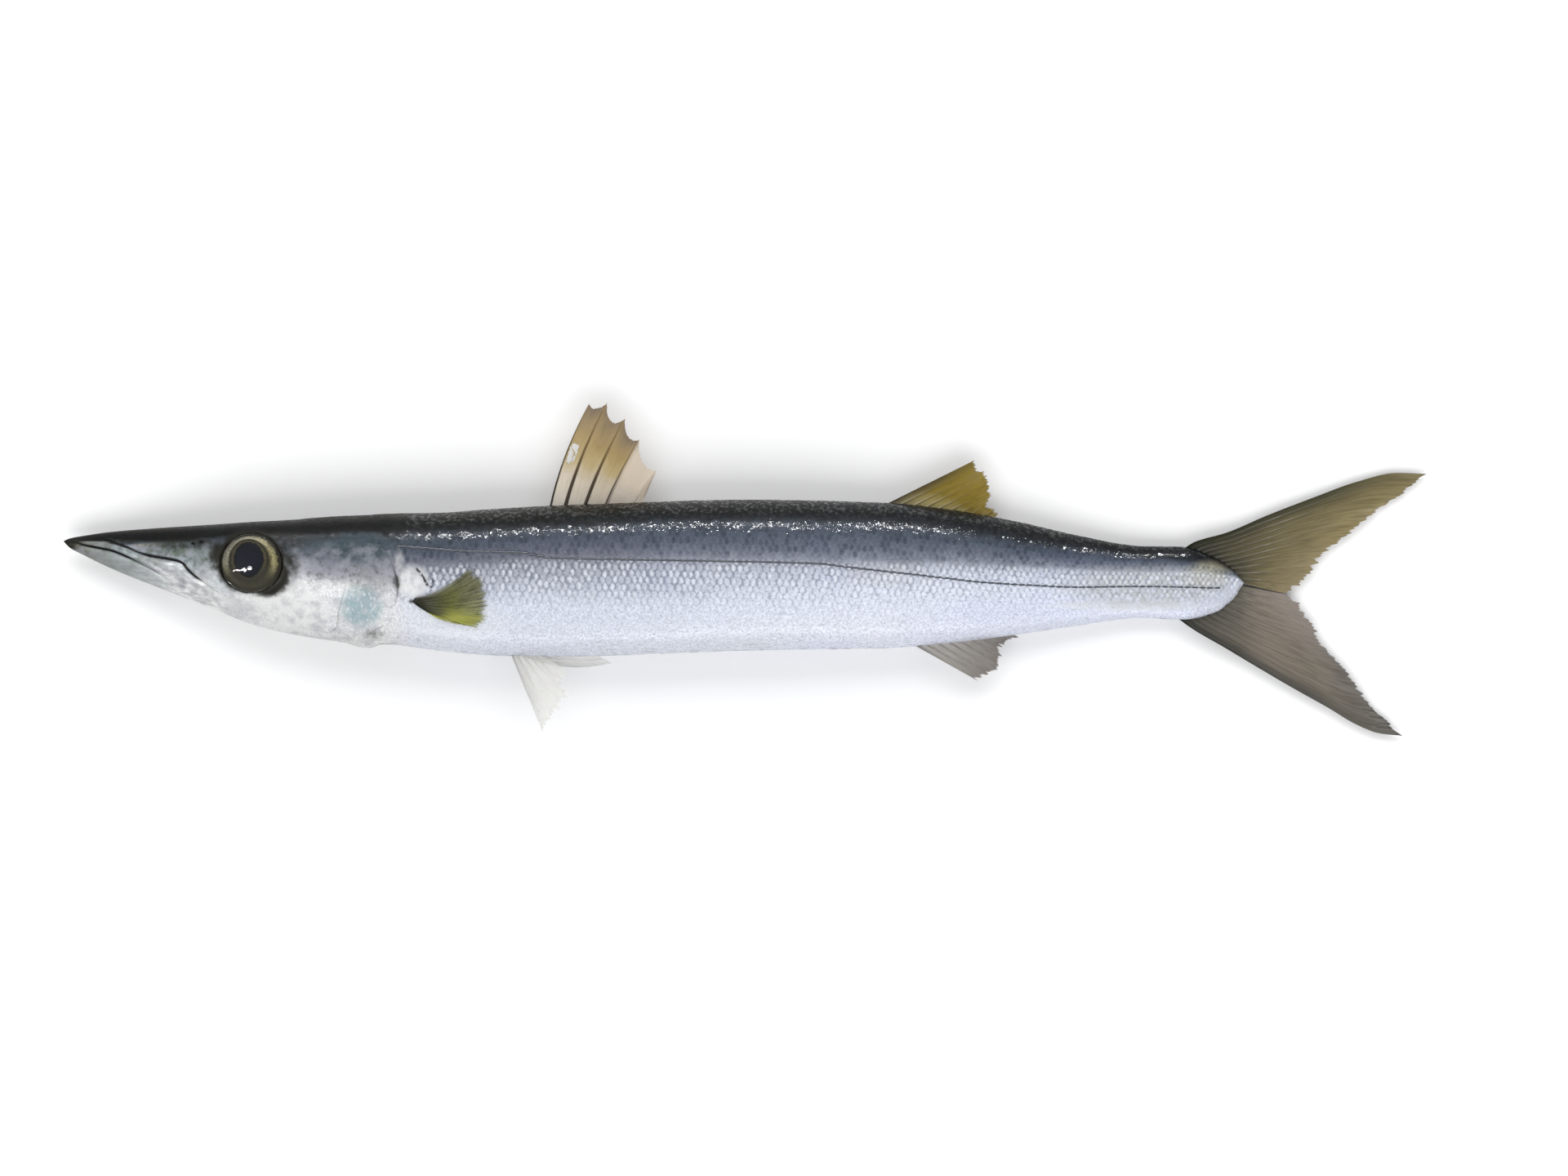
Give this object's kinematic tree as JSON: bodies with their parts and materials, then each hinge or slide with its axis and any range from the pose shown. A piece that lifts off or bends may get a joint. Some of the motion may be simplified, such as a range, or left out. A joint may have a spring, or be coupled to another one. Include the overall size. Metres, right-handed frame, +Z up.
{
  "type": "barracuda fish model",
  "caption": "Slender, long-jawed sea fish lying on its right side with its fins spread, as a still life-size model.",
  "frame": {"origin": "on the floor, under the middle of the whole fish's box", "axes": "+X from the snout to the tail, +Y towards the fish's back, +Z up out of its left flank"},
  "size_m": [0.369, 0.0902, 0.0307],
  "materials": {
    "head_skin": "smooth silvery skin, dark on the crown and snout, with a wet gloss",
    "body_skin": "small overlapping scales, near-black back, slate upper flank, silver-lilac below, with a wet gloss",
    "eye": "clear glossy cornea over a bronze iris and a black pupil",
    "fin_olive": "thin translucent membrane, brown on olive, with stiff brown spines",
    "fin_yellow": "thin translucent membrane, yellowish olive, with darker branched rays",
    "fin_pale": "thin translucent membrane, greyish cream, with fine branched rays"
  },
  "bodies": {
    "root": {"head": "head_skin", "jaw_lower": "head_skin", "jaw_upper_left": "head_skin", "jaw_upper_right": "head_skin", "gill_cover_left": "head_skin", "gill_cover_right": "head_skin", "eye_left": "eye", "eye_right": "eye", "trunk_front": "body_skin", "trunk_rear": "body_skin", "tail_stalk": "body_skin", "fin_dorsal_first": "fin_olive", "fin_dorsal_second": "fin_yellow", "fin_tail_upper": "fin_yellow", "fin_tail_lower": "fin_yellow", "fin_pectoral_left": "fin_yellow", "fin_pectoral_right": "fin_yellow", "fin_anal": "fin_pale", "fin_pelvic_left": "fin_pale", "fin_pelvic_right": "fin_pale"}
  },
  "joints": []
}
